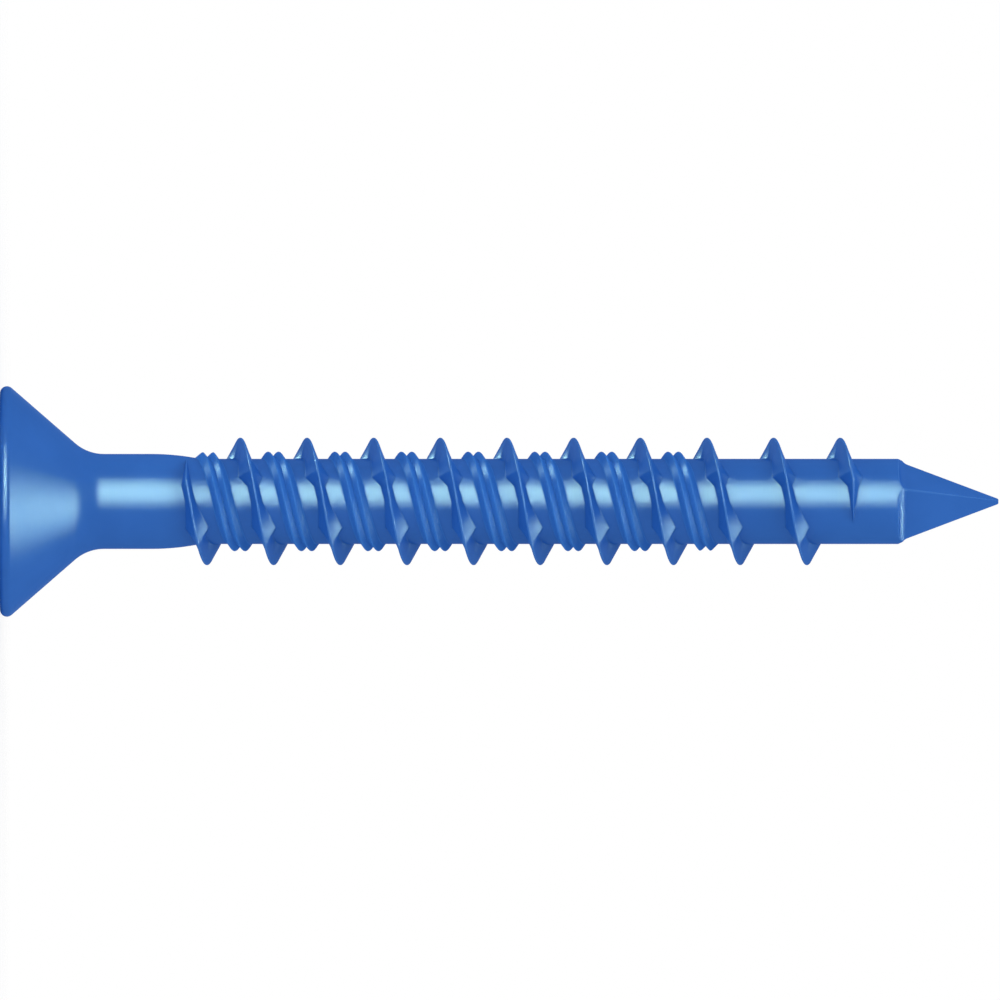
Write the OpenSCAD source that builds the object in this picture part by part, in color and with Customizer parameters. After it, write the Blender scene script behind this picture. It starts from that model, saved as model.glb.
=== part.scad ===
// Countersunk concrete screw, one cold-formed piece of hardened steel with a blue coating.
// It stands on its flat head: the origin is the middle of the head's face, and +Z runs to the point.
// A tall single-start thread with flared teeth cuts the masonry, and a pair of low ridges runs
// halfway between its turns. All lengths are in millimetres, all angles in degrees.

/* [Length] */
// Overall length, from the face of the head to the tip
length = 57.15; // [50:0.05:75]
// Where the smooth shank ends, measured from the face of the head
shank_end = 8.7; // [7.5:0.05:10]
// Length over which the shank narrows to the threaded core
taper_l = 2.78; // [1.5:0.02:4]
// Plain core between the end of the thread and the point
plain_end = 2.63; // [2.2:0.01:6]

/* [Head] */
// Widest diameter of the head, across its rounded rim
head_d = 13.22; // [12:0.02:15]
// Included angle of the countersink
countersink_angle = 82; // [78:1:92]
// Radius of the rim between the face and the countersink
rim_r = 0.4; // [0.2:0.02:0.7]
// Radius of the blend under the head
neck_r = 2.53; // [1:0.01:3]

/* [Drive recess] */
// Width across the wings of the cross recess at the face
wing_span = 6.9; // [6:0.1:7.6]
// Thickness of a wing
wing_w = 2; // [1.6:0.05:2.3]
// Depth of the wings, where their outer edges meet the pointed bottom
wing_depth = 3.1; // [2.4:0.05:3.2]
// Slope of a wing's outer edge from the axis
wing_slope = 26.5; // [20:0.5:28]
// Diameter of the round eye where the wings cross
eye_d = 3.4; // [2.8:0.05:3.6]
// Rise of the pointed bottom
bottom_slope = 28; // [20:1:35]

/* [Shank and core] */
// Diameter of the smooth shank
shank_d = 5.44; // [5.2:0.02:5.8]
// Diameter of the core between the threads
core_d = 4.88; // [4.7:0.02:5.1]

/* [High thread] */
// Diameter over the crests
thread_d = 7.3; // [6.8:0.02:7.8]
// Distance from one turn to the next
pitch = 3.815; // [3.4:0.005:4.6]
// How far up the taper the thread begins
thread_lead = 0.805; // [0.2:0.005:1.2]
// Direction in which the thread begins, anticlockwise from +X
thread_angle = 249; // [0:1:359]
// Width of the crest
crest_w = 0.14; // [0.1:0.01:0.36]
// How far the corners of the crest are rounded down
crest_drop = 0.05; // [0.03:0.01:0.12]
// Width of the thin blade between two teeth, at the core
blade_w = 0.61; // [0.5:0.01:0.8]
// Width of a tooth where it is broadest, at the core
tooth_w = 1.36; // [1.1:0.02:1.5]
// Teeth in one turn
teeth = 5; // [3:1:6]
// Part of a tooth's pitch that is plain blade
blade_share = 0.29; // [0.15:0.01:0.35]
// Part of a tooth's pitch over which it drops back to the blade
drop_share = 0.1; // [0.08:0.01:0.25]
// Angle by which the foot of a tooth is ahead of its crest, where it is broadest
tooth_lean = 6; // [0:0.5:8]
// Angle over which the thread rises from the core at each end
run_out = 53; // [30:1:70]

/* [Twin ridges] */
// Diameter over the ridges
ridge_d = 5.7; // [5.4:0.02:6]
// Diameter at the groove between the two ridges
groove_d = 5.02; // [4.98:0.01:5.3]
// Distance between the two ridges
ridge_step = 0.595; // [0.5:0.005:0.7]
// Width of both ridges together, at the core
ridge_base = 1.2; // [1.1:0.01:1.5]
// Width of a ridge's crest
ridge_crest = 0.06; // [0.04:0.01:0.25]
// Distance from the high thread to the middle of the ridges
ridge_gap = 1.885; // [1.6:0.005:2.1]
// How much earlier than the high thread the ridges begin
ridge_lead = 114; // [60:1:130]
// Length of high thread at the point that has no ridges beside it
ridge_stop = 7.9; // [4:0.1:16]

/* [Point] */
// Length of the point, from its shoulder to the tip
point_l = 5.695; // [4:0.005:8]
// Width across the flats of the four-sided point where it leaves the shoulder
point_w = 3.2; // [2.8:0.02:3.3]
// Width across the flats at the blunt tip
tip_w = 0.22; // [0.1:0.02:0.6]
// Radius of the hollow blend between shoulder and point
shoulder_r = 0.66; // [0.4:0.02:0.7]
// Direction of one edge of the point, anticlockwise from +X
point_angle = 252; // [0:1:359]

/* [Smoothness] */
// Steps in each rounded stretch of the outline
arc_steps = 8; // [4:1:16]
// Sections along one flared flank of a tooth
flare_steps = 4; // [2:1:6]
// Sections along the plain blade of a tooth
blade_steps = 2; // [1:1:3]
// Sections in one turn of the twin ridges
ridge_steps = 30; // [20:1:48]

/* [Hidden] */
$fn = 96;

// How deep a thread's foot is rooted below the surface of the core
root = 0.4;
// Least share of its width that a thread keeps where it runs out
run_out_w = 0.25;
// A thread's crest at the end of its run-out lies this far under the core
run_out_sink = 0.05;
// Sections in a run-out
run_out_steps = 4;
// Overlap of a cutting solid past the face that it cuts
cut = 1;
// Allowance for rounding where whole teeth are counted, as a share of a tooth
rounding = 0.01;

head_r = head_d / 2;
shank_r = shank_d / 2;
core_r = core_d / 2;
cone_angle = countersink_angle / 2;
taper_end = shank_end + taper_l;
shoulder_z = length - point_l;

// The rim's circle touches the face of the head and the countersink
rim_at = [head_r - rim_r, rim_r];
cone_top = rim_at + rim_r * [cos(cone_angle), sin(cone_angle)];
// The neck's circle touches the countersink and the shank
neck_out = shank_r + neck_r - cone_top[0];
neck_at = [shank_r + neck_r, cone_top[1] + (neck_r - cos(cone_angle) * neck_out) / sin(cone_angle)];

// The high thread: as many whole teeth as fit before the plain end of the core
tooth_arc = 360 / teeth;
blade_arc = tooth_arc * blade_share;
drop_arc = tooth_arc * drop_share;
flare_arc = tooth_arc - blade_arc - drop_arc;
thread_z = taper_end - thread_lead;
thread_l = shoulder_z - plain_end - thread_z;
tooth_count = floor(thread_l / pitch * teeth + rounding);
thread_arc = tooth_count * tooth_arc;
thread_h = thread_d / 2 - core_r;

// The twin ridges, on the same helix as the high thread
ridge_z = thread_z + ridge_gap;
ridge_arc = (thread_l - ridge_stop - ridge_gap) / pitch * 360;

// Points along an arc round a centre
function arc(at, r, from, to, steps) =
    [for (i = [0 : steps]) let (a = from + (to - from) * i / steps) at + r * [cos(a), sin(a)]];

// Radius of the taper, which leaves the shank smoothly and meets the core at an edge
function taper_r(share) = shank_r - (shank_r - core_r) * share * share;

// Half outline of head, neck, shank, taper and core, as [radius, height]
function shaft_outline(top) = concat(
    [[0, 0]],
    arc(rim_at, rim_r, -90, cone_angle, arc_steps),
    arc(neck_at, neck_r, 180 + cone_angle, 180, arc_steps),
    [for (i = [0 : arc_steps]) let (s = i / arc_steps) [taper_r(s), shank_end + taper_l * s]],
    [[core_r, top], [0, top]]);

// A point of a thread section, as [radius, offset along the axis], set on the helix
function on_helix(p, angle, z) =
    [p[0] * cos(angle), p[0] * sin(angle), z + p[1]];

// A thread section from its half, which runs from the foot to the crest
function both_sides(half) = concat(
    [for (p = half) [p[0], -p[1]]],
    [for (i = [len(half) - 1 : -1 : 0]) if (half[i][1] > 0) half[i]]);

// Joins equal rings of points, one after the other, into one closed solid
module loft(rings) {
    n = len(rings[0]);
    last = len(rings) - 1;
    sides = [for (i = [0 : last - 1]) for (j = [0 : n - 1])
        let (a = i * n + j, b = i * n + (j + 1) % n) each [[a, b, a + n], [b, b + n, a + n]]];
    start = [for (j = [n - 1 : -1 : 0]) j];
    end = [for (j = [0 : n - 1]) last * n + j];
    polyhedron([for (ring = rings) each ring], concat(sides, [start, end]), convexity = 10);
}

// How full a thread is at an angle along it: 1 over its length, falling off at both ends
function fullness(t, from, to) = min(1, 1 - (from - t) / run_out, 1 - (t - to) / run_out);

// How far a tooth is flared at an angle along the high thread: 0 on the blade, 1 where it is
// broadest, and 0 where the thread runs out at either end
function tooth_share(t) =
    let (u = t - tooth_arc * floor(t / tooth_arc + rounding))
    let (flare = (u - blade_arc) / flare_arc, drop = (tooth_arc - u) / drop_arc)
    t < 0 || t > thread_arc ? 0 : max(0, min(flare, drop));

// Width of the high thread at the core
function tooth_foot(t) = blade_w + (tooth_w - blade_w) * tooth_share(t);

// Angle by which a point of a tooth is ahead of its crest, which grows towards the foot
function lean(t, r) = tooth_lean * tooth_share(t) * (thread_d / 2 - r) / thread_h;

// Section of the high thread, from one foot over the crest to the other
function thread_section(t) =
    let (full = fullness(t, 0, thread_arc), slim = max(run_out_w, full))
    let (foot = tooth_foot(t) / 2, spread = (foot - crest_w / 2) * root / (thread_h - crest_drop))
    let (crest = core_r - run_out_sink + (thread_h + run_out_sink) * full)
    both_sides([
        [core_r - root, slim * (foot + spread)],
        [crest - crest_drop, slim * crest_w / 2],
        [crest, slim * crest_w / 4]]);

// Angles along the high thread at which it has a section
function thread_stops() =
    let (blade = [for (i = [0 : blade_steps - 1]) blade_arc * i / blade_steps])
    let (flare = [for (i = [0 : flare_steps]) blade_arc + flare_arc * i / flare_steps])
    let (run = [for (i = [1 : run_out_steps]) run_out * i / run_out_steps])
    concat(
        [for (i = [run_out_steps - 1 : -1 : 0]) -run[i]],
        [for (k = [0 : tooth_count - 1]) each [for (u = concat(blade, flare)) tooth_arc * k + u]],
        [thread_arc],
        [for (a = run) thread_arc + a]);

module high_thread() {
    loft([for (t = thread_stops())
        [for (p = thread_section(t))
            let (a = t - lean(t, p[0]), along = max(0, min(thread_arc, a)))
            on_helix(p, thread_angle + a, thread_z + pitch * along / 360)]]);
}

// Section of the twin ridges, from one foot over both crests to the other
function ridge_section(t) =
    let (full = fullness(t, run_out - ridge_lead, ridge_arc - run_out))
    let (outer = (ridge_step + ridge_crest) / 2, inner = (ridge_step - ridge_crest) / 2)
    let (spread = (ridge_base / 2 - outer) * (1 + root / (ridge_d / 2 - core_r)))
    let (low = core_r - run_out_sink)
    let (top = low + (ridge_d / 2 - low) * full, groove = low + (groove_d / 2 - low) * full)
    both_sides([
        [core_r - root, outer + spread],
        [top, outer],
        [top, inner],
        [groove, 0]]);

module twin_ridges() {
    sections = ceil((ridge_arc + ridge_lead) / 360 * ridge_steps);
    loft([for (i = [0 : sections])
        let (t = -ridge_lead + (ridge_arc + ridge_lead) * i / sections)
        [for (p = ridge_section(t)) on_helix(p, thread_angle + t, ridge_z + pitch * t / 360)]]);
}

// Two opposite faces of the point with their hollow blend into the shoulder, as a long bar
module point_flats() {
    narrowing = (point_w - tip_w) / 2;
    first_slope = atan(narrowing / (point_l - shoulder_r));
    slope = atan(narrowing / (point_l - shoulder_r * (1 - sin(first_slope))));
    blend_at = [point_w / 2 + shoulder_r * cos(slope), shoulder_z + shoulder_r];
    side = concat(
        [[head_d, -cut], [head_d, shoulder_z]],
        arc(blend_at, shoulder_r, 270, 180 + slope, arc_steps),
        [[tip_w / 2, length]]);
    mirrored = [for (i = [len(side) - 1 : -1 : 0]) [-side[i][0], side[i][1]]];
    rotate([90, 0, 0])
        linear_extrude(2 * head_d, center = true)
            polygon(concat(side, mirrored));
}

// Head, shank and core, with the end of the core pinched to a four-sided point
module shaft() {
    intersection() {
        rotate_extrude()
            polygon(shaft_outline(length + cut));
        intersection_for (turn = [45, 135])
            rotate(point_angle + turn)
                point_flats();
    }
}

// Cross recess: two crossing wings and a round eye, kept within a cone with a pointed bottom
module drive_recess() {
    span_out = wing_span / 2 + cut * tan(wing_slope);
    span_in = wing_span / 2 - wing_depth * tan(wing_slope);
    bottom = wing_depth + span_in * tan(bottom_slope);
    intersection() {
        union() {
            for (turn = [0, 90])
                rotate(turn)
                    translate([-wing_span, -wing_w / 2, -2 * cut])
                        cube([2 * wing_span, wing_w, bottom + 3 * cut]);
            translate([0, 0, -2 * cut])
                cylinder(h = bottom + 3 * cut, d = eye_d);
        }
        rotate_extrude()
            polygon([[0, -cut], [span_out, -cut], [span_in, wing_depth], [0, bottom]]);
    }
}

module concrete_screw() {
    color("#3064b3")
        difference() {
            union() {
                shaft();
                high_thread();
                twin_ridges();
            }
            drive_recess();
        }
}

concrete_screw();
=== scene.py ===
# %% [markdown]
# # A countersunk concrete screw
# The real screw is cold-formed from one length of steel wire. The head is upset, the thread is
# rolled, the end is pinched to a point, and the whole piece is then coated blue. The CAD model
# already has its true form. This lesson gives it its looks: a finer skin whose edges are eased as
# those of rolled steel are, the blue coating, and a plain white studio.
#
# The CAD frame comes first. Everything after it shares that frame, in metres, so nothing has to be
# fitted: the screw stands on its head, its axis is Z, and its point is up.

# %% Load the CAD frame
import math

import bpy
import numpy as np
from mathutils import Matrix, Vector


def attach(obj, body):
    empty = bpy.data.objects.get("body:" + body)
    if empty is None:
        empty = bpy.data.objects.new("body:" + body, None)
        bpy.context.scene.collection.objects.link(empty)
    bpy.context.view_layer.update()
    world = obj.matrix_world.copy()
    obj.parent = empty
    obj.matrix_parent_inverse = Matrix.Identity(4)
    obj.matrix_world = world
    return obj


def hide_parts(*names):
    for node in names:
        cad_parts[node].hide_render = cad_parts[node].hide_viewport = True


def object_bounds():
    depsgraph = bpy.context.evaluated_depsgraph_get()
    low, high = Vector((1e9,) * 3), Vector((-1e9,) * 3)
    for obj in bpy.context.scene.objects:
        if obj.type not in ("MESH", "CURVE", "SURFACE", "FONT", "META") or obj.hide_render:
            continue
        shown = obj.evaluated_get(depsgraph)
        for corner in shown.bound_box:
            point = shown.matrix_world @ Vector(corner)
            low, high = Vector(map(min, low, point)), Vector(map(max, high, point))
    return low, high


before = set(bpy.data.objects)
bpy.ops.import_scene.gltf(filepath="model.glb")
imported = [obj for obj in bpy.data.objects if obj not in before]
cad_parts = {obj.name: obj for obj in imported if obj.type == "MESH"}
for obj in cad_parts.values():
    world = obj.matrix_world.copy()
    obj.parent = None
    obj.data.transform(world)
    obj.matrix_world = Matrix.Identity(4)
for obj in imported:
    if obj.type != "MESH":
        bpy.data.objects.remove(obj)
cad_low, cad_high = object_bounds()
MM = 0.001
print("CAD box in mm:", [round(x / MM, 3) for x in (*cad_low, *cad_high)])

# %% [markdown]
# ## Sizes
# A finer skin needs the same driving sizes as the CAD model. The length and the head are read from
# the frame, and the rest are written here once, in millimetres, because a script in the library
# stands alone. Angles along the thread are in degrees, counted from where the thread begins.

# %% Sizes of the shaft
length = cad_high.z / MM
head_r = min(cad_high.x, cad_high.y) / MM
rim_r = 0.4
cone_angle = 41
neck_r = 2.53
shank_r = 2.72
shank_end = 8.7
taper_l = 2.78
core_r = 2.44
print(f"shaft: {length:.2f} long, head {2 * head_r:.2f}, core {2 * core_r:.2f} mm")

# %% Sizes of the threads
pitch = 3.815
thread_z = 10.675
thread_angle = 249
teeth = 5
turns = 10
thread_r = 3.65
crest_w = 0.14
crest_drop = 0.05
blade_w = 0.61
tooth_w = 1.36
blade_share = 0.29
drop_share = 0.1
tooth_lean = 6
run_out = 53
ridge_r = 2.85
groove_r = 2.51
ridge_step = 0.595
ridge_base = 1.2
ridge_crest = 0.06
ridge_gap = 1.885
ridge_start = -114
ridge_end = 2676.6
print(f"thread: {turns} turns of {teeth} teeth, {2 * thread_r:.2f} mm over the crests")

# %% [markdown]
# ## A skin made of rings
# A screw could be made from a cylinder and a Screw modifier, or cut with booleans, but both leave
# long thin triangles where the thread meets the core. Here the skin is a stack of rings of points
# round the axis, with a belt of faces between each ring and the next. The stack runs from the
# bottom of the drive recess over the face of the head to the tip, so that one rule, anticlockwise
# and then onward, turns every face outward.

# %% Rings and belts
points = []
faces = []
tiny = 1e-6


def add_face(*corners):
    """Keeps a face, without the corners that repeat, unless it has shrunk to a line."""
    kept = list(dict.fromkeys(corners))
    if len(kept) > 2:
        faces.append(kept)


def add_ring(angles, radii, heights):
    """Adds a closed ring of points and returns its angles with their point numbers."""
    first = len(points)
    radii = np.broadcast_to(radii, len(angles))
    heights = np.broadcast_to(heights, len(angles))
    for angle, r, z in zip(np.radians(angles), radii, heights):
        points.append((r * math.cos(angle), r * math.sin(angle), z))
    return list(angles), list(range(first, len(points)))


def join_rings(ring, onward):
    """Fills the belt between two rings: quads where their angles agree, triangles elsewhere."""
    angles_a = ring[0] + [ring[0][0] + 360]
    angles_b = onward[0] + [onward[0][0] + 360]
    a = ring[1] + ring[1][:1]
    b = onward[1] + onward[1][:1]
    i = j = 0
    while i < len(a) - 1 or j < len(b) - 1:
        next_a = angles_a[i + 1] if i < len(a) - 1 else math.inf
        next_b = angles_b[j + 1] if j < len(b) - 1 else math.inf
        if abs(next_a - next_b) < tiny:
            add_face(a[i], a[i + 1], b[j + 1], b[j])
        elif next_a < next_b:
            add_face(a[i], a[i + 1], b[j])
        else:
            add_face(a[i], b[j + 1], b[j])
        i += next_a <= next_b + tiny
        j += next_b <= next_a + tiny


print("rings and belts are ready")

# %% [markdown]
# ## Columns
# The flanks of the tall thread are not smooth. Each of its five teeth a turn has three edges: where
# the blade begins to flare, where the flare turns into the drop, and where the drop meets the next
# blade. Points that miss those edges would blur them, so the columns of the rings are set by the
# tooth. There is one every three degrees, and a close pair about each of the three edges, which
# leaves each edge with the small bevel of a rolled one.

# %% Columns of one turn
tooth_arc = 360 / teeth
column_step = 3
edge_gap = 0.8
tooth_edges = (tooth_arc * blade_share, tooth_arc * (1 - drop_share), tooth_arc)
plain_columns = [u for u in np.arange(column_step, tooth_arc, column_step)
                 if all(abs(u - e) > 2 * edge_gap for e in tooth_edges)]
edge_columns = [(e + side * edge_gap) % tooth_arc for e in tooth_edges for side in (-1, 1)]
tooth_columns = sorted(plain_columns + edge_columns)
columns = [float(k * tooth_arc + u) for k in range(teeth) for u in tooth_columns]
around = [thread_angle + t for t in columns]
print(len(columns), "columns in a turn")

# %% [markdown]
# ## The drive recess
# A driver turns the screw by a cross recess, punched into the face of the head. A boolean could cut
# it, but it would have to be bevelled afterwards. Every level of it is an outline that can be seen
# whole from the axis: four wings of one width that end on a cone, and a round eye where they
# cross. So it is a stack of rings like the rest, and its mouth is eased by letting the outline
# grow towards the face.

# %% Outline of the recess
wing_span = 6.9
wing_w = 2
eye_r = 1.7
corner_soft = 0.16
soft_share = 0.3
end_points = 5
side_points = 5
eye_points = 4
round_points = 9


def on_circle(r, angles):
    """Points at a distance from the axis, at angles in radians."""
    return [r * np.array((math.cos(a), math.sin(a))) for a in angles]


def half_wing(end_r, grow):
    """Points of an eighth of the outline, from the middle of a wing to the middle of the eye."""
    w = wing_w / 2 + grow
    e = eye_r + grow
    r = end_r + grow
    if r <= e:
        return on_circle(r, np.linspace(0, math.pi / 4, round_points))
    corner = np.array((math.sqrt(r * r - w * w), w))
    waist = np.array((math.sqrt(e * e - w * w), w))
    soft = min(corner_soft, soft_share * (corner[0] - waist[0]))
    wing_end = on_circle(r, np.linspace(0, math.asin(w / r) - soft / r, end_points))
    side_x = np.linspace(corner[0] - soft, waist[0] + soft, side_points)
    side = [np.array((x, w)) for x in side_x]
    eye = on_circle(e, np.linspace(math.asin(w / e) + soft / e, math.pi / 4, eye_points))
    turn = [(wing_end[-1] + 2 * corner + side[0]) / 4]
    notch = [(side[-1] + 2 * waist + eye[0]) / 4]
    return wing_end + turn + side + notch + eye


def recess_ring(end_r, z, grow=0):
    """One level of the recess, as a ring."""
    eighth = half_wing(end_r, grow)
    quarter = eighth + [p[::-1] for p in eighth[-2:0:-1]]
    spun = [(math.degrees(math.atan2(y, x)) + 90 * k, math.hypot(x, y))
            for k in range(4) for x, y in quarter]
    placed = sorted(((a - thread_angle) % 360 + thread_angle, r) for a, r in spun)
    return add_ring([a for a, r in placed], [r for a, r in placed], z)


print(f"recess: {wing_span} mm across wings {wing_w} mm wide")

# %% Levels of the recess
wing_depth = 3.1
wing_slope = 26.5
bottom_slope = 28
mouth_ease = 0.14
lip_angles = (30, 60, 90)
wing_taper = math.tan(math.radians(wing_slope))
bottom_rise = math.tan(math.radians(bottom_slope))
bottom_r = wing_span / 2 - wing_depth * wing_taper
bottom_z = wing_depth + bottom_r * bottom_rise
bottom_radii = (0.15, 0.5, 1, 1.4, eye_r, 1.8, bottom_r)
wing_heights = (3, 2.4, 1.7, 1, 0.5, mouth_ease)

points.append((0, 0, bottom_z))
levels = [recess_ring(r, bottom_z - r * bottom_rise) for r in bottom_radii]
for z in wing_heights:
    levels.append(recess_ring(wing_span / 2 - z * wing_taper, z))
for lip in np.radians(lip_angles):
    grow = mouth_ease * (1 - math.cos(lip))
    levels.append(recess_ring(wing_span / 2, mouth_ease * (1 - math.sin(lip)), grow))
inmost = levels[0][1]
for here, after in zip(inmost, inmost[1:] + inmost[:1]):
    add_face(0, after, here)
for ring, onward in zip(levels, levels[1:]):
    join_rings(ring, onward)
print(f"recess: {len(levels)} levels, {bottom_z:.2f} mm deep")

# %% [markdown]
# ## Head, neck and shank
# These were formed in round dies, so a revolved outline is the plain way to make them. The face is
# flat out to the rim. The rim's arc touches the face and the countersink, the neck's arc touches
# the countersink and the shank, and the shank narrows along a parabola to the core that carries
# the threads.

# %% Outline of head and neck
rim_steps = 10
cone_steps = 8
neck_steps = 12
face_radii = (4.1, 4.8, 5.5)
slope = math.radians(cone_angle)
rim_at = np.array((head_r - rim_r, rim_r))
cone_top = rim_at + rim_r * np.array((math.cos(slope), math.sin(slope)))
neck_out = shank_r + neck_r - cone_top[0]
neck_rise = (neck_r - math.cos(slope) * neck_out) / math.sin(slope)
neck_at = np.array((shank_r + neck_r, cone_top[1] + neck_rise))


def arc(at, r, start, stop, steps):
    """Points along an arc, as (radius, height)."""
    return [at + p for p in on_circle(r, np.radians(np.linspace(start, stop, steps + 1)))]


face = [(r, 0) for r in face_radii]
rim = arc(rim_at, rim_r, -90, cone_angle, rim_steps)
neck = arc(neck_at, neck_r, 180 + cone_angle, 180, neck_steps)
cone = [rim[-1] + (neck[0] - rim[-1]) * k / cone_steps for k in range(1, cone_steps)]
print(f"neck from {neck[0][1]:.2f} to {neck[-1][1]:.2f} mm")

# %% Revolve the outline
belt_low = 10.1
shank_steps = 4


def base_r(z):
    """Radius of the shank, the taper and the core, without the threads."""
    share = np.clip((z - shank_end) / taper_l, 0, 1)
    return shank_r - (shank_r - core_r) * share ** 2


straight = np.linspace(neck[-1][1], shank_end, shank_steps + 1)[1:]
narrowing = np.linspace(shank_end, belt_low, shank_steps + 1)[1:]
shank = [(base_r(z), z) for z in (*straight, *narrowing)]
ring = levels[-1]
for r, z in [*face, *rim, *cone, *neck, *shank]:
    onward = add_ring(around, r, z)
    join_rings(ring, onward)
    ring = onward
low_ring = ring
print(f"head, neck and shank: {len(points)} points so far")

# %% [markdown]
# ## Section of the threads
# Between two turns of the tall thread lie two low ridges, rolled by the same dies. One section,
# a pitch wide, holds all of it: a polyline of heights above the core, whose corners are then
# eased. The tall thread keeps its crest all the way round, and only its foot swells: a thin blade
# for the first part of a tooth, a slow flare, and a quick drop back to the blade. At its ends a
# thread sinks into the core over its run-out.

# %% Run-outs and teeth
def fullness(t, start, stop):
    """1 along a thread, falling to 0 over the run-out at each end."""
    return max(min(1, 1 - (start - t) / run_out, 1 - (t - stop) / run_out), 0)


def tooth_share(t):
    """How far a tooth is flared: 0 on the blade and 1 where it is broadest."""
    u = t % tooth_arc
    flare = (u / tooth_arc - blade_share) / (1 - blade_share - drop_share)
    drop = (1 - u / tooth_arc) / drop_share
    inside = 0 <= t <= 360 * turns
    return max(0, min(flare, drop)) * inside


tooth_ends = [round(e, 1) for e in tooth_edges]
print("a tooth flares from", tooth_ends[0], "degrees to", tooth_ends[1], "and is back at", tooth_ends[2])

# %% Corners of the section
root = 0.4
run_out_w = 0.25
run_out_sink = 0.05
least_foot = 1.2
belt_start = (ridge_gap + ridge_base / 2 - pitch - tooth_w / 2) / 2


def tall_thread(t):
    """Place, half widths of crest and foot, and heights of crest and its edges above the base."""
    along = min(max(t, 0), 360 * turns)
    beyond = min(max(t - along, -run_out), run_out)
    at = -pitch * beyond / 360
    full = fullness(t, 0, 360 * turns)
    slim = max(run_out_w, full)
    top = core_r - run_out_sink + (thread_r - core_r + run_out_sink) * full
    base = base_r(thread_z + pitch * t / 360 + at)
    foot = (blade_w + (tooth_w - blade_w) * tooth_share(t)) / 2
    spread = (foot - crest_w / 2) * root / (thread_r - core_r - crest_drop)
    wide = slim * (foot + spread)
    narrow = slim * crest_w / 2
    per_mm = (narrow - wide) / max(top - crest_drop - core_r + root, root / 2)
    at_base = max(wide + per_mm * (base - core_r + root), least_foot * narrow)
    height = max(top - base, 0)
    return at, narrow, at_base, height, max(height - crest_drop, height / 2)


def section_corners(t):
    """Corners of one section as (offset along the axis, height above the base)."""
    at, crest, foot, height, shoulder = tall_thread(t)
    full = fullness(t, ridge_start + run_out, ridge_end - run_out)
    base = base_r(thread_z + pitch * t / 360 + ridge_gap)
    low = core_r - run_out_sink
    top = max(low + (ridge_r - low) * full - base, 0)
    groove = max(low + (groove_r - low) * full - base, 0)
    outer = (ridge_step + ridge_crest) / 2
    inner = (ridge_step - ridge_crest) / 2
    rise = [(-foot, 0), (-crest, shoulder), (-crest / 2, height)]
    tall = [(at + s, h) for s, h in rise + [(-s, h) for s, h in reversed(rise)]]
    half = [(-ridge_base / 2, 0), (-outer, top), (-inner, top)]
    twin = half + [(0, groove)] + [(-s, h) for s, h in reversed(half)]
    return [(belt_start, 0), *tall, *[(ridge_gap + s, h) for s, h in twin], (belt_start + pitch, 0)]


broadest = 16 * tooth_arc - tooth_arc * drop_share
broad_corners = section_corners(broadest)[1:7]
print("corners of a tooth:", [[round(float(x), 2) for x in corner] for corner in broad_corners])

# %% [markdown]
# ## Eased corners
# No rolled edge is knife sharp. A Bevel modifier could round the mesh later, but it guesses at the
# corners, and here they are known. Each corner becomes a short curve that leaves one side and
# meets the other without a kink. The reach is how far it goes along each side.

# %% Easing
tall_reach = (0.06, 0.05, 0.05, 0.05, 0.05, 0.06)
twin_reach = (0.08, 0.05, 0.05, 0.06, 0.05, 0.05, 0.08)
section_reach = tall_reach + twin_reach
corner_steps = 3
flank_corners = (1, 5)
most_of_side = 0.48


def eased(corners):
    """The corners of a section as short curves, with a middle point on each flank of the thread."""
    corners = np.array(corners)
    out = [corners[0]]
    for k, soft in enumerate(section_reach, 1):
        back = corners[k - 1] - corners[k]
        on = corners[k + 1] - corners[k]
        enter = corners[k] + back * min(soft / max(np.hypot(*back), tiny), most_of_side)
        leave = corners[k] + on * min(soft / max(np.hypot(*on), tiny), most_of_side)
        for u in np.linspace(0, 1, corner_steps + 1):
            out.append((1 - u) ** 2 * enter + 2 * u * (1 - u) * corners[k] + u * u * leave)
        if k in flank_corners:
            out.append((corners[k] + corners[k + 1]) / 2)
    return np.array(out)


section_rows = len(eased(section_corners(0)))
tall_rows = range(1, 1 + len(tall_reach) * (corner_steps + 1) + len(flank_corners))
print(section_rows, "points across one section")

# %% [markdown]
# ## The threaded belt
# One section a pitch wide, wound along the helix, covers the whole core: the top of one turn is the
# bottom of the next, so both use the same points. The dies leave the edge of a tooth leaning, so the
# lower a point of the flank lies, the sooner it comes along the thread. At each end the winding
# would leave a step. The belt is wound past both ends, and what lies beyond a level ring is taken
# to that ring, where the faces that shrink to nothing are dropped. The points of the low ridges are
# noted, with the height of the ridges there, because the coating has less gleam on them and is
# painted paler there as painted light.

# %% Points of the belt
belt_high = 49.8
snap = 0.02
ridge_points = []
ridge_heights = []
count = len(columns)
high_ring = add_ring(around, core_r, belt_high)


def wound(column):
    """Angle along the thread of a column, counted on through the turns."""
    return 360 * (column // count) + columns[column % count]


def section_points(column):
    """Point numbers of the section at a column, from its bottom to its top."""
    t = wound(column)
    lean = tooth_lean * tooth_share(t)
    ids = []
    section = eased(section_corners(t))
    ridge_height = section[tall_rows.stop:, 1].max()
    for row, (offset, height) in enumerate(section):
        sooner = lean * (1 - height / (thread_r - core_r)) if row in tall_rows else 0
        angle = math.radians(thread_angle + t - sooner)
        z = thread_z + pitch * (t - sooner) / 360 + offset
        if z < belt_low + snap:
            ids.append(low_ring[1][column % count])
        elif z > belt_high - snap:
            ids.append(high_ring[1][column % count])
        else:
            r = base_r(z) + height
            if height > 0 and row not in tall_rows:
                ridge_points.append(len(points))
                ridge_heights.append(ridge_height)
            ids.append(len(points))
            points.append((r * math.cos(angle), r * math.sin(angle), z))
    return ids


first_column = -count
last_column = count * (turns + 1)
sections = [section_points(c) for c in range(first_column, last_column + count + 1)]
print(f"belt: {len(sections)} sections, {len(ridge_points)} points on the low ridges")

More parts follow.
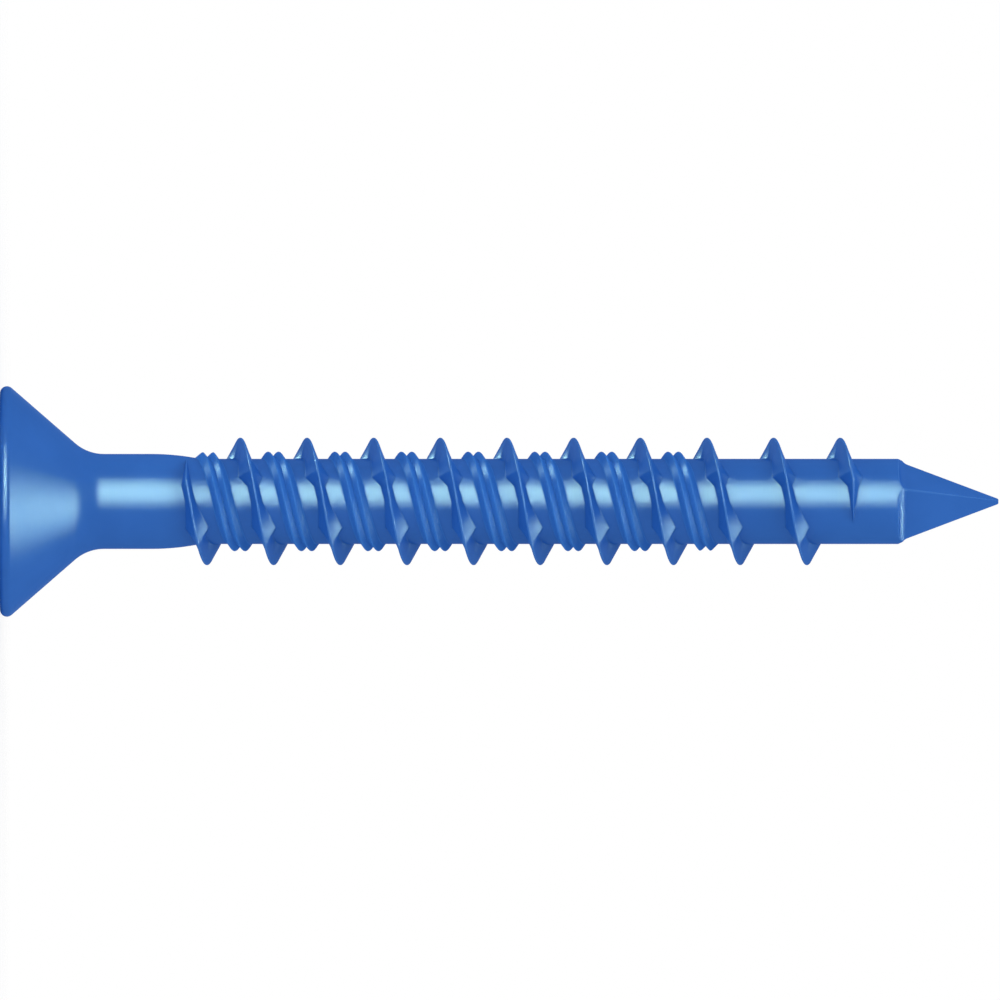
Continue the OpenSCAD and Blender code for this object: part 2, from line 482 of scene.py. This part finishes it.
# %% Faces of the belt
for k in range(last_column - first_column):
    here = sections[k] + sections[k + count][:1]
    beside = sections[k + 1] + sections[k + 1 + count][:1]
    for row in range(section_rows):
        add_face(here[row], beside[row], beside[row + 1], here[row + 1])
print(f"belt: {len(points)} points and {len(faces)} faces so far")

# %% [markdown]
# ## The point
# The end of the core is pinched between dies into four flats, with a hollow blend that leaves a
# narrow shoulder. A cone would be easier, but the flats show. Every column finds where its flat,
# at its own angle, leaves the round core, and its points are spaced from there to the tip, so that
# the edge of the shoulder is a clean line of points. The four corners get a small round.

# %% Rounded square
point_angle = 252
corner_share = 0.07
corner_gap = math.degrees(math.pi / 4 - math.atan(1 - corner_share))
point_corners = [(point_angle + 90 * k - thread_angle) % 360 + thread_angle for k in range(4)]
point_around = sorted({*around, *(c + side * corner_gap for c in point_corners for side in (-1, 1))})


def square_reach(angle):
    """Distance from the axis to a square of half width 1 with rounded corners."""
    off = math.radians((angle - point_angle) % 90 - 45)
    x = math.cos(off)
    y = abs(math.sin(off))
    centre = 1 - corner_share
    if y / x <= centre:
        return 1 / x
    near = centre * (x + y)
    return near + math.sqrt(near * near - 2 * centre * centre + corner_share ** 2)


print(len(point_around), "columns round the point")

# %% Sizes of the point
point_l = 5.695
point_w = 3.2
tip_w = 0.22
shoulder_r = 0.66
edge_ease = 0.07
tip_ease = 0.06
shoulder_z = length - point_l
half_loss = (point_w - tip_w) / 2
first_slope = math.atan(half_loss / (point_l - shoulder_r))
flat_slope = math.atan(half_loss / (point_l - shoulder_r * (1 - math.sin(first_slope))))
blend_at = np.array((point_w / 2 + shoulder_r * math.cos(flat_slope), shoulder_z + shoulder_r))
print(f"point: shoulder at {shoulder_z:.2f} mm, flats at {math.degrees(flat_slope):.1f} degrees")

# %% Columns of the point
tip_face_share = 0.75
most_of_first = 0.6
past_ease = 0.7
blend_steps = 8
flat_steps = 8


def blend_point(a):
    """A point of the hollow blend, as (distance of the flat from the axis, height)."""
    return blend_at + shoulder_r * np.array((math.cos(a), math.sin(a)))


def point_column(angle):
    """Points of one column from the round core over the shoulder to the tip."""
    reach = square_reach(angle)
    inset = core_r / reach - blend_at[0]
    begin = 1.5 * math.pi if inset >= 0 else math.pi + math.acos(-inset / shoulder_r)
    end = math.pi + flat_slope
    rim_edge = np.array((core_r, blend_point(begin)[1]))
    path = [rim_edge] if inset >= 0 else []
    path += [blend_point(a) * (reach, 1) for a in np.linspace(begin, end, blend_steps + 1)]
    inward = path[1] - path[0]
    before = rim_edge - (0, edge_ease)
    after = path[0] + inward * min(edge_ease / max(np.hypot(*inward), tiny), most_of_first)
    rest = path[1:] if inset < 0 else [path[0] + inward * past_ease, *path[2:]]
    low = blend_point(end)
    high = np.array((tip_w / 2, length))
    flat = [(low + (high - low) * k / flat_steps) * (reach, 1) for k in range(1, flat_steps)]
    lip = high + (low - high) * tip_ease / point_l
    tip = [lip * (reach, 1), np.array((tip_face_share * tip_w / 2 * reach, length))]
    return [before, (before + 2 * rim_edge + after) / 4, after, *rest, *flat, *tip]


point_rows = list(zip(*[point_column(a) for a in point_around]))
print(f"point: {len(point_rows)} rows of {len(point_around)} points")

# %% Close the point
last_round = [(core_r, shoulder_z - 3 * edge_ease)] * len(point_around)
ring = high_ring
for row in [last_round, *point_rows]:
    onward = add_ring(point_around, [r for r, z in row], [z for r, z in row])
    join_rings(ring, onward)
    ring = onward
points.append((0, 0, length))
for here, after in zip(ring[1], ring[1][1:] + ring[1][:1]):
    add_face(here, after, len(points) - 1)
print(f"whole skin: {len(points)} points and {len(faces)} faces")

# %% [markdown]
# ## One closed mesh
# The screw is one piece of steel, so it is one closed mesh. Smooth shading alone would make the
# flats look swollen, because a corner's normal would be a plain mean of its faces. Weighted by area,
# the wide faces win, and the turn happens within the small eased strips, as on real edges.

# %% Build the mesh
mesh = bpy.data.meshes.new("concrete_screw_skin")
mesh.from_pydata((np.array(points) * MM).tolist(), [], faces)
mesh.validate()
mesh.shade_smooth()
screw = bpy.data.objects.new("concrete_screw_skin", mesh)
bpy.context.scene.collection.objects.link(screw)
print(f"{len(mesh.vertices)} points in {len(mesh.polygons)} faces")

# %% Normals weighted by area
no_area = 1e-20
corner_points = np.zeros(len(mesh.loops), int)
mesh.loops.foreach_get("vertex_index", corner_points)
sizes = np.zeros(len(mesh.polygons), int)
mesh.polygons.foreach_get("loop_total", sizes)
areas = np.array([p.area for p in mesh.polygons])
outward = np.array([p.normal for p in mesh.polygons])
normals = np.zeros((len(mesh.vertices), 3))
np.add.at(normals, corner_points, np.repeat(outward * areas[:, None], sizes, axis=0))
normals /= np.maximum(np.linalg.norm(normals, axis=1, keepdims=True), no_area)
mesh.normals_split_custom_set_from_vertices(normals.tolist())
print(int((sizes - 2).sum()), "triangles with weighted normals")

# %% [markdown]
# ## Where edges, hollows and ridges are
# A coating runs thin on outer edges, handling polishes what stands out, and hollows get painted shade.
# Cycles has a Pointiness value for this, but it changes with the mesh and can't be baked everywhere.
# Here each point is compared with its neighbours once: how far they lie in front of its surface or
# behind it. The second strongest of them counts. A point where an eased strip meets a flat has only
# one neighbour that is out of line, so it stays plain, and no mark runs out over the flats. The
# marks are kept on the mesh for the coating to read, with one beside them for the low ridges, which
# fades out with their height over the run-outs.

# %% Marks on the points
coords = np.array(points)
pairs = np.zeros(2 * len(mesh.edges), int)
mesh.edges.foreach_get("vertices", pairs)
pairs = pairs.reshape(-1, 2)
here, there = np.concatenate((pairs, pairs[:, ::-1])).T
step = coords[there] - coords[here]
lift = (step * normals[here]).sum(1) / np.maximum((step * step).sum(1), tiny)
lift = lift[np.lexsort((lift, here))]
neighbours = np.bincount(here, minlength=len(coords))
highest = np.cumsum(neighbours) - 1
lowest = highest - neighbours + 1
behind = -lift[lowest + 1]
ahead = lift[highest - 1]
on_ridge = np.zeros(len(coords))
on_ridge[ridge_points] = ridge_heights

# Each mark: its name, its values, where it begins and where it is full.
marks = (("edge", behind, 1.2, 6), ("hollow", ahead, 0.6, 3), ("ridge", on_ridge, 0, 0.3))
for name, values, least, full in marks:
    share = np.clip((values - least) / (full - least), 0, 1)
    mesh.attributes.new(name, "FLOAT", "POINT").data.foreach_set("value", share.astype(np.float32))
    print(f"{name}: {int((share > 0.5).sum())} points")

# %% [markdown]
# ## Writing shader sums in Python
# A node tree is hard to read as a list of links. This class wraps one socket, so that a sum such as
# 1 - mask * 0.3 adds its own Math nodes. Every other node comes from one method, which takes the
# node's type, its settings, and what goes into its sockets.

# %% The socket class
class Wire:
    """A socket of a node tree, on which sums are written as on numbers."""

    def __init__(self, tree, socket=None):
        self.tree = tree
        self.socket = socket

    def node(self, kind, settings=None, inputs=None, output=0):
        """Adds a node: its settings are set first, then its sockets are filled or linked."""
        made = self.tree.nodes.new(kind)
        for name, value in (settings or {}).items():
            setattr(made, name, value)
        for name, value in (inputs or {}).items():
            if isinstance(value, Wire):
                self.tree.links.new(value.socket, made.inputs[name])
            else:
                made.inputs[name].default_value = value
        return Wire(self.tree, made.outputs[output] if len(made.outputs) else None)

    def sum(self, operation, first, second):
        """A Math node on two values."""
        return self.node("ShaderNodeMath", {"operation": operation}, {0: first, 1: second})

    def __add__(self, other):
        return self.sum("ADD", self, other)

    def __radd__(self, other):
        return self.sum("ADD", other, self)

    def __sub__(self, other):
        return self.sum("SUBTRACT", self, other)

    def __rsub__(self, other):
        return self.sum("SUBTRACT", other, self)

    def __mul__(self, other):
        return self.sum("MULTIPLY", self, other)

    def __rmul__(self, other):
        return self.sum("MULTIPLY", other, self)

    def mix(self, first, second):
        """A colour between two, with this value as the share of the second."""
        return self.node("ShaderNodeMix", {"data_type": "RGBA"}, {0: self, 6: first, 7: second}, 2)

    def between(self, low, high):
        """This value taken from the range low to high, smoothly, to 0 to 1."""
        limits = {"Value": self, "From Min": low, "From Max": high}
        return self.node("ShaderNodeMapRange", {"interpolation_type": "SMOOTHSTEP"}, limits)


def empty_tree(owner):
    """Turns on the nodes of a material, world or lamp, clears them, and returns a wire in them."""
    owner.use_nodes = True
    owner.node_tree.nodes.clear()
    return Wire(owner.node_tree)


print("sums on sockets: + - * with numbers on either side")

# %% [markdown]
# ## The blue coating
# The screw is dipped in a blue finish that is baked on over zinc: a full, even blue with a faint
# cloudiness where the film varies, and an orange-peel texture finer than the eye quite sees. It
# thins to a lighter blue on crests and edges. The roots of the threads get a darker blue, which is
# painted shade, and the low ridges a paler blue, which is painted light against the shade of their
# narrow valleys. All of it comes from noise in millimetres and from the marks on the mesh, so
# nothing stretches and it can be baked. The flat face of the head is left plain.

# %% Noise and marks
coating = bpy.data.materials.new("blue_coating")
wire = empty_tree(coating)
place = wire.node("ShaderNodeTexCoord", output="Object")
face_depth = 0.1
face_blend = 0.3


def noise(size_mm, detail, roughness):
    """Noise whose blotches are about a size in millimetres across, as a value."""
    values = {"Vector": place, "Scale": 1 / (size_mm * MM), "Detail": detail, "Roughness": roughness}
    return wire.node("ShaderNodeTexNoise", None, values)


def mark(name):
    """A mark kept on the points of the mesh, as a value."""
    return wire.node("ShaderNodeAttribute", {"attribute_name": name}, output="Fac")


cloud = noise(size_mm=4.5, detail=3, roughness=0.55)
speck = noise(size_mm=0.5, detail=2, roughness=0.5)
peel = noise(size_mm=0.7, detail=1, roughness=0.5)
above_face = wire.node("ShaderNodeSeparateXYZ", None, {0: place}, "Z")
off_face = above_face.between(face_depth * MM, face_blend * MM)
edge = mark("edge") * off_face
hollow = mark("hollow") * off_face
ridge = mark("ridge")
print("coating: noise in three sizes and three marks")

# %% Colour of the coating
deep_blue = (0.015, 0.09, 0.375, 1)
full_blue = (0.019, 0.104, 0.42, 1)
thin_blue = (0.05, 0.17, 0.49, 1)
root_shade_blue = (0.007, 0.042, 0.18, 1)
ridge_light_blue = (0.04, 0.18, 0.56, 1)
cloud_low = 0.3
cloud_high = 0.7
speck_share = 0.2
least_wear = 0.35
speck_wear = 0.5
root_shade_share = 0.25
ridge_light_share = 0.65
film = cloud.between(cloud_low, cloud_high) * (1 - speck_share) + speck * speck_share
blue = film.mix(deep_blue, full_blue)
blue = (edge * (least_wear + speck * speck_wear)).mix(blue, thin_blue)
# painted shade: the roots of the threads are darkened where shade falls in them
blue = (hollow * root_shade_share).mix(blue, root_shade_blue)
# painted light: the low ridges are painted paler against the shade of their narrow valleys
blue = (ridge * ridge_light_share).mix(blue, ridge_light_blue)
print("coating: full blue", full_blue[:3], "over deep blue", deep_blue[:3])

# %% [markdown]
# ## Paint and gleam
# Seen close, the finish is a matt paint under a very thin clear film, which gives it a soft, cool
# gleam. One Principled shader with a coat could stand for both, but its gleam grows towards the
# outline of the screw and washes the blue out there. Here a small share of a mirror-like shader is
# mixed into the matt one instead, the same from every side. Edges, roots and the low ridges have
# less of it, because the film is broken there.

# %% Shaders of the coating
satin = 0.22
cloud_rough = 0.1
speck_rough = 0.05
root_rough = 0.1
gleam_share = 0.025
bend_dulling = 0.55
ridge_dulling = 0.85
cool_gleam = (0.55, 1, 1, 1)
peel_strength = 0.1
peel_depth = 0.02
rough = satin + (cloud - 0.5) * cloud_rough + (speck - 0.5) * speck_rough + hollow * root_rough
grain = wire.node("ShaderNodeBump", None, {
    "Strength": peel_strength, "Distance": peel_depth * MM, "Height": peel})
paint = wire.node("ShaderNodeBsdfPrincipled", None, {
    "Base Color": blue, "Roughness": rough, "Normal": grain, "Specular IOR Level": 0})
gleam = wire.node("ShaderNodeBsdfPrincipled", None, {
    "Base Color": cool_gleam, "Roughness": rough, "Normal": grain, "Metallic": 1})
whole_film = (1 - (edge + hollow) * bend_dulling) * (1 - ridge * ridge_dulling) * off_face
coat = wire.node("ShaderNodeMixShader", None, {0: gleam_share * whole_film, 1: paint, 2: gleam})
wire.node("ShaderNodeOutputMaterial", None, {"Surface": coat})
mesh.materials.append(coating)
print("coating:", len(coating.node_tree.nodes), "nodes")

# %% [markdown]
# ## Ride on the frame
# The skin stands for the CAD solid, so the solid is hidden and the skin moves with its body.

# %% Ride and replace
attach(screw, "root")
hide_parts("concrete_screw")
print("skin rides on root and stands for concrete_screw")

# %% [markdown]
# ## Floor
# A loose screw of this kind stands on its head, so the floor is a plain white disc at the head's
# face. It fades out to the white world, so no rim shows, and it keeps the screw's soft shadow. Under
# the head it is open, and from below it can be seen through, so that the recess still gets light
# when it is looked at from there.

# %% Floor disc
disc_r = 70
hole_r = 6.25
disc_sides = 96
floor_drop = 0.03
spokes = np.radians(np.arange(disc_sides) * 360 / disc_sides)
floor_points = [(r * math.cos(a) * MM, r * math.sin(a) * MM, -floor_drop * MM)
                for r in (hole_r, disc_r) for a in spokes]
floor_faces = []
for k in range(disc_sides):
    after = (k + 1) % disc_sides
    floor_faces.append((k, k + disc_sides, after + disc_sides, after))
floor_mesh = bpy.data.meshes.new("floor")
floor_mesh.from_pydata(floor_points, [], floor_faces)
floor = bpy.data.objects.new("floor", floor_mesh)
bpy.context.scene.collection.objects.link(floor)
print(f"floor: {2 * disc_r} mm across")

# %% Floor material
fade_start = 0.4 * disc_r
fade_end = 0.95 * disc_r
glow_share = 0.55
white = (1, 1, 1, 1)
card_white = (0.9, 0.9, 0.9, 1)
white_floor = bpy.data.materials.new("white_floor")
wire = empty_tree(white_floor)
seen = [wire.node("ShaderNodeLightPath", output=f"Is {kind} Ray") for kind in ("Camera", "Glossy")]
spot = wire.node("ShaderNodeTexCoord", output="Object")
away = wire.node("ShaderNodeVectorMath", {"operation": "LENGTH"}, {0: spot}, "Value")
under = wire.node("ShaderNodeNewGeometry", output="Backfacing")
card = wire.node("ShaderNodeBsdfDiffuse", None, {"Color": card_white})
glow = wire.node("ShaderNodeEmission", None, {"Color": white, "Strength": 1})
clear = wire.node("ShaderNodeBsdfTransparent")
lit = wire.node("ShaderNodeMixShader", None, {0: (seen[0] + seen[1]) * glow_share, 1: card, 2: glow})
gone = 1 - (1 - away.between(fade_start * MM, fade_end * MM)) * (1 - under)
fading = wire.node("ShaderNodeMixShader", None, {0: gone, 1: lit, 2: clear})
wire.node("ShaderNodeOutputMaterial", None, {"Surface": fading})
floor_mesh.materials.append(white_floor)
print(f"floor fades from {fade_start:.0f} to {fade_end:.1f} mm")

# %% [markdown]
# ## White world
# The background is plain white. A white world would also flood the screw with light, so only the
# rays that see it, from the camera or by way of a gloss, find it white. For every other ray it is a
# pale grey, the even light in which the paint shows the blue that is written above.

# %% World
fill_level = 0.92
ray_kinds = ("Camera", "Glossy", "Transmission")
world = bpy.data.worlds.new("white_world")
bpy.context.scene.world = world
wire = empty_tree(world)
seen = [wire.node("ShaderNodeLightPath", output=f"Is {kind} Ray") for kind in ray_kinds]
seeing = wire.sum("MINIMUM", seen[0] + seen[1] + seen[2], 1)
level = fill_level + seeing * (1 - fill_level)
sky = wire.node("ShaderNodeBackground", None, {"Color": white, "Strength": level})
wire.node("ShaderNodeOutputWorld", None, {"Surface": sky})
print("world: white where it is seen, fill level", fill_level)

# %% [markdown]
# ## Lamps
# A photographer lights a small glossy thing with cards that show in its gloss. The long stripe on
# the core is the mirror image of the key, on the camera's side. The rim card, from the head's side,
# lights the edge of the head, the top card, beyond the point, lights the countersink and the
# flanks that face the point, and a small bright glint lights the steep drops of the teeth. Only the
# thin film sees these four, so the blue stays as written. They cast no shadow, so no thread blots
# out the stripe beside it. The flank and the heel lamps, to either side, are seen only by the paint
# and give the form its shading. A weak lamp behind keeps the far side from going flat.

# %% Softbox
lamp_middle = 0.5


def softbox(name, toward, distance, width, height, radiance, matt=True, gloss=True, shadow=True):
    """A lamp in a direction from the screw, that dims towards its edges, for matt or glossy light."""
    data = bpy.data.lights.new(name, "AREA")
    data.shape = "RECTANGLE"
    data.size = width * MM
    data.size_y = height * MM
    data.energy = radiance * math.pi * data.size * data.size_y
    data.use_shadow = shadow
    data.cycles.use_multiple_importance_sampling = shadow
    wire = empty_tree(data)
    spot = wire.node("ShaderNodeNewGeometry", output="Parametric")
    u = wire.node("ShaderNodeSeparateXYZ", None, {0: spot}, "X")
    v = wire.node("ShaderNodeSeparateXYZ", None, {0: spot}, "Y")
    across = u.between(0, lamp_middle) * (1 - u).between(0, lamp_middle)
    along = v.between(0, lamp_middle) * (1 - v).between(0, lamp_middle)
    glow = wire.node("ShaderNodeEmission", None, {"Strength": across * along})
    wire.node("ShaderNodeOutputLight", None, {"Surface": glow})
    lamp = bpy.data.objects.new(name, data)
    back = Vector(toward).normalized()
    side = (Vector((1, 0, 0)) - back * back.x).normalized()
    lamp.matrix_world = Matrix((side, back.cross(side), back)).transposed().to_4x4()
    lamp.location = (back * distance + Vector((0, 0, length / 2))) * MM
    lamp.visible_camera = False
    lamp.visible_diffuse = matt
    lamp.visible_glossy = gloss
    bpy.context.scene.collection.objects.link(lamp)
    print(f"{name}: {data.energy:.2f} W")


print("softboxes are brightest in the middle and dim to nothing at the edge")

# %% Cards and lamps
# Each one: its name and direction, its distance, width and height in mm, and its radiance.
softbox("key_softbox", (-0.366, -0.93, 0), 300, 560, 160, 28, matt=False, shadow=False)
softbox("rim_softbox", (-0.33, -0.84, -0.45), 300, 560, 300, 24, matt=False, shadow=False)
softbox("top_softbox", (0.1, 0.12, 1), 280, 336, 504, 21, matt=False, shadow=False)
softbox("glint_softbox", (-0.36, 0.3, -0.88), 300, 130, 130, 160, matt=False, shadow=False)
softbox("flank_softbox", (-0.25, -0.6, 0.75), 300, 420, 420, 2, gloss=False)
softbox("heel_softbox", (-0.25, -0.6, -0.75), 300, 420, 420, 1, gloss=False, shadow=False)
softbox("back_softbox", (0, 1, 0), 300, 300, 300, 2.5)

# %% [markdown]
# ## Camera
# The photograph looks straight at the side of the screw, with the axis across the frame and the
# point to the right, and without perspective. A very long lens comes close to that, and still lets
# the other views step back to fit the whole screw.

# %% Camera
frame_mm = 57.24
axis_below_middle = 0.082
lens = 1600
sensor = 36
distance = frame_mm * lens / sensor
camera_data = bpy.data.cameras.new("camera")
camera_data.lens = lens
camera_data.sensor_width = sensor
camera_data.clip_start = 0.1
camera_data.clip_end = 100
camera = bpy.data.objects.new("camera", camera_data)
right = Vector((0, 0, 1))
up = Vector((-1, 0, 0))
back = Vector((0, -1, 0))
camera.matrix_world = Matrix((right, up, back)).transposed().to_4x4()
camera.location = (-axis_below_middle * MM, -distance * MM, frame_mm / 2 * MM)
bpy.context.scene.collection.objects.link(camera)
bpy.context.scene.camera = camera
bpy.context.scene.view_settings.view_transform = "Standard"
print(f"camera {distance * MM:.2f} m away")
